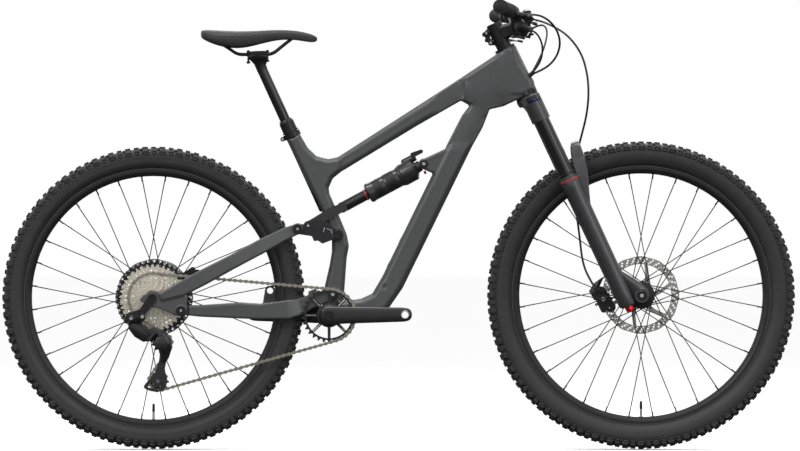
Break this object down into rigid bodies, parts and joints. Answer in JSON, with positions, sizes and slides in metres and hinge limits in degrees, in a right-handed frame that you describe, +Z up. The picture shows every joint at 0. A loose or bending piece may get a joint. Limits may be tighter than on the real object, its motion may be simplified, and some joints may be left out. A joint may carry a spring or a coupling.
{
  "type": "full suspension mountain bike",
  "caption": "Full-suspension trail mountain bike with air fork and shock, disc brakes, single-ring derailleur drivetrain and dropper saddle post.",
  "frame": {"origin": "on the ground under the middle of the bike's box", "axes": "+Z up, +X the way the bike rolls, +Y the rider's left; the chain is on the -Y side"},
  "size_m": [1.832, 0.7848, 1.0282],
  "materials": {
    "frame_paint": "satin",
    "black_alloy": "satin",
    "bolt_black": "satin",
    "fork_black": "satin",
    "stanchion_black": "polished",
    "grip_rubber": "matte",
    "black_plastic": "matte",
    "hose_black": "satin",
    "lever_black": "satin",
    "knob_blue": "anodised",
    "knob_red": "anodised",
    "tyre_rubber": "matte",
    "rim_black": "satin",
    "spoke_black": "satin",
    "rotor_steel": "brushed",
    "chain_steel": "satin",
    "link_black": "satin",
    "shock_black": "satin",
    "cassette_steel": "satin",
    "crank_black": "satin",
    "ring_black": "satin",
    "pulley_plastic": "matte",
    "saddle_cover": "matte"
  },
  "bodies": {
    "frame": {"main_frame": "frame_paint", "seat_clamp": "black_alloy", "dropper_lower_tube": "black_alloy", "headset_cups": "black_alloy", "bottom_bracket_cups": "black_alloy", "frame_pivot_bolts": "bolt_black"},
    "steerer": {"crown_steerer": "fork_black", "fork_stanchions": "stanchion_black", "stem": "black_alloy", "handlebar": "black_alloy", "grips": "grip_rubber", "brake_masters": "black_alloy", "shifter_pods": "black_plastic", "front_brake_hose": "hose_black", "rear_brake_hose": "hose_black", "shift_cable": "hose_black", "dropper_cable": "hose_black"},
    "brake_blade_right": {"brake_blade_right": "lever_black"},
    "brake_blade_left": {"brake_blade_left": "lever_black"},
    "shift_lever_main": {"shift_lever_main": "black_plastic"},
    "shift_lever_release": {"shift_lever_release": "black_plastic"},
    "dropper_lever": {"dropper_lever": "lever_black"},
    "compression_knob": {"compression_knob": "knob_blue"},
    "fork_lowers": {"fork_lowers": "fork_black", "front_axle": "black_alloy", "front_caliper": "black_alloy"},
    "rebound_knob": {"rebound_knob": "knob_red"},
    "front_wheel": {"front_tyre": "tyre_rubber", "front_rim": "rim_black", "front_spokes": "spoke_black", "front_hub": "black_alloy", "front_rotor": "rotor_steel"},
    "chainstays": {"chainstays": "frame_paint", "chain": "chain_steel"},
    "seatstays": {"seatstays": "frame_paint", "rear_axle": "black_alloy", "derailleur_hanger": "black_alloy", "rear_caliper": "black_alloy"},
    "rocker": {"rocker_link": "link_black"},
    "shock_can": {"shock_can": "shock_black"},
    "shock_shaft": {"shock_shaft": "stanchion_black"},
    "shock_lever": {"shock_lever": "lever_black"},
    "rear_wheel": {"rear_tyre": "tyre_rubber", "rear_rim": "rim_black", "rear_spokes": "spoke_black", "rear_hub": "black_alloy", "rear_rotor": "rotor_steel"},
    "cassette": {"cassette": "cassette_steel"},
    "crank": {"crank_spindle": "black_alloy", "crank_right": "crank_black", "crank_left": "crank_black", "chainring": "ring_black"},
    "derailleur_link": {"derailleur_link": "black_alloy"},
    "derailleur_knuckle": {"derailleur_knuckle": "black_plastic"},
    "derailleur_cage": {"derailleur_cage": "black_alloy"},
    "guide_pulley": {"guide_pulley": "pulley_plastic"},
    "tension_pulley": {"tension_pulley": "pulley_plastic"},
    "dropper": {"dropper_post": "stanchion_black", "saddle": "saddle_cover", "saddle_rails": "black_alloy"}
  },
  "joints": [
    {"name": "steering", "type": "hinge", "parent": "frame", "child": "steerer", "pos_m": [0.29611, 0, 0.81774], "axis": [-0.4226, 0, 0.9063], "range_deg": [-60, 60], "deforming": ["rear_brake_hose", "shift_cable", "dropper_cable"]},
    {"name": "fork_travel", "type": "slide", "parent": "steerer", "child": "fork_lowers", "axis": [-0.4226, 0, 0.9063], "range_m": [0, 0.13], "stiffness_N_per_m": 5500, "springref_m": -0.02, "deforming": ["front_brake_hose"]},
    {"name": "front_wheel_spin", "type": "hinge", "parent": "fork_lowers", "child": "front_wheel", "pos_m": [0.56, 0, 0.356], "axis": [0, 1, 0], "continuous": true},
    {"name": "chainstay_pivot", "type": "hinge", "parent": "frame", "child": "chainstays", "pos_m": [-0.1515, 0, 0.3587], "axis": [0, 1, 0], "range_deg": [0, 18.3], "stiffness_Nm_per_rad": 900, "springref_deg": -8.59, "deforming": ["chain"]},
    {"name": "seatstay_pivot", "type": "hinge", "parent": "chainstays", "child": "seatstays", "pos_m": [-0.5005, 0, 0.3216], "axis": [0, 1, 0], "range_deg": [-8.4, 0]},
    {"name": "rocker_pivot", "type": "hinge", "parent": "frame", "child": "rocker", "pos_m": [-0.1406, 0, 0.4964], "axis": [0, 1, 0], "range_deg": [0, 43.9]},
    {"name": "shock_pivot", "type": "hinge", "parent": "frame", "child": "shock_can", "pos_m": [0.0583, 0, 0.6595], "axis": [0, 1, 0], "range_deg": [0, 5.2]},
    {"name": "shock_stroke", "type": "slide", "parent": "shock_can", "child": "shock_shaft", "axis": [0.8817, 0, 0.4719], "range_m": [0, 0.0469]},
    {"name": "shock_lever_turn", "type": "hinge", "parent": "shock_can", "child": "shock_lever", "pos_m": [0.033, 0, 0.68], "axis": [0, 1, 0], "range_deg": [-70, 0]},
    {"name": "rear_wheel_spin", "type": "hinge", "parent": "seatstays", "child": "rear_wheel", "pos_m": [-0.566, 0, 0.35], "axis": [0, 1, 0], "continuous": true},
    {"name": "cassette_spin", "type": "hinge", "parent": "seatstays", "child": "cassette", "pos_m": [-0.566, 0, 0.35], "axis": [0, 1, 0], "continuous": true},
    {"name": "crank_spin", "type": "hinge", "parent": "frame", "child": "crank", "pos_m": [-0.16, 0, 0.31], "axis": [0, 1, 0], "continuous": true},
    {"name": "derailleur_shift", "type": "hinge", "parent": "seatstays", "child": "derailleur_link", "pos_m": [-0.612, -0.076, 0.3], "axis": [0.6369, 0, 0.771], "range_deg": [-27.2, 5], "stiffness_Nm_per_rad": 1.5},
    {"name": "derailleur_parallel", "type": "hinge", "parent": "derailleur_link", "child": "derailleur_knuckle", "pos_m": [-0.566, -0.076, 0.262], "axis": [0.6369, 0, 0.771], "range_deg": [-5.1, 27.3]},
    {"name": "derailleur_cage_swing", "type": "hinge", "parent": "derailleur_knuckle", "child": "derailleur_cage", "pos_m": [-0.545, 0, 0.247], "axis": [0, 1, 0], "range_deg": [-40, 10], "stiffness_Nm_per_rad": 1.5},
    {"name": "guide_pulley_spin", "type": "hinge", "parent": "derailleur_cage", "child": "guide_pulley", "pos_m": [-0.545, -0.0387, 0.247], "axis": [0, 1, 0], "continuous": true},
    {"name": "tension_pulley_spin", "type": "hinge", "parent": "derailleur_cage", "child": "tension_pulley", "pos_m": [-0.554, -0.0387, 0.1587], "axis": [0, 1, 0], "continuous": true},
    {"name": "dropper_slide", "type": "slide", "parent": "frame", "child": "dropper", "axis": [-0.4157, 0, 0.9095], "range_m": [-0.12, 0]},
    {"name": "brake_lever_right", "type": "hinge", "parent": "steerer", "child": "brake_blade_right", "pos_m": [0.298, -0.232, 0.984], "axis": [-0.474, 0, -0.8805], "range_deg": [0, 22], "stiffness_Nm_per_rad": 0.6, "springref_deg": -11.46},
    {"name": "brake_lever_left", "type": "hinge", "parent": "steerer", "child": "brake_blade_left", "pos_m": [0.298, 0.232, 0.984], "axis": [0.474, 0, 0.8805], "range_deg": [0, 22], "stiffness_Nm_per_rad": 0.6, "springref_deg": -11.46},
    {"name": "shift_main_press", "type": "hinge", "parent": "steerer", "child": "shift_lever_main", "pos_m": [0.284, -0.158, 0.949], "axis": [0.2, 0, 0.9798], "range_deg": [0, 25], "stiffness_Nm_per_rad": 0.2, "springref_deg": -11.46},
    {"name": "shift_release_pull", "type": "hinge", "parent": "steerer", "child": "shift_lever_release", "pos_m": [0.296, -0.176, 0.951], "axis": [-0.2, 0, -0.9798], "range_deg": [0, 12], "stiffness_Nm_per_rad": 0.2, "springref_deg": -11.46},
    {"name": "dropper_lever_press", "type": "hinge", "parent": "steerer", "child": "dropper_lever", "pos_m": [0.284, 0.158, 0.949], "axis": [-0.2, 0, -0.9798], "range_deg": [0, 20], "stiffness_Nm_per_rad": 0.2, "springref_deg": -11.46},
    {"name": "compression_knob_turn", "type": "hinge", "parent": "steerer", "child": "compression_knob", "pos_m": [0.30662, -0.065, 0.8094], "axis": [-0.4226, 0, 0.9063], "range_deg": [0, 90]},
    {"name": "rebound_knob_turn", "type": "hinge", "parent": "fork_lowers", "child": "rebound_knob", "pos_m": [0.53188, -0.065, 0.32634], "axis": [-0.4226, 0, 0.9063], "range_deg": [-170, 170]}
  ],
  "couplings": [
    {"joint": "seatstay_pivot", "follows": "chainstay_pivot", "ratio": -0.4529},
    {"joint": "rocker_pivot", "follows": "chainstay_pivot", "ratio": 2.3935},
    {"joint": "shock_pivot", "follows": "chainstay_pivot", "ratio": 0.2777},
    {"joint": "shock_stroke", "follows": "chainstay_pivot", "m_per_rad": 0.14638},
    {"joint": "cassette_spin", "follows": "crank_spin", "ratio": 1.0714},
    {"joint": "guide_pulley_spin", "follows": "crank_spin", "ratio": -2.7273},
    {"joint": "tension_pulley_spin", "follows": "crank_spin", "ratio": 2.7273},
    {"joint": "derailleur_parallel", "follows": "derailleur_shift", "ratio": -1}
  ]
}
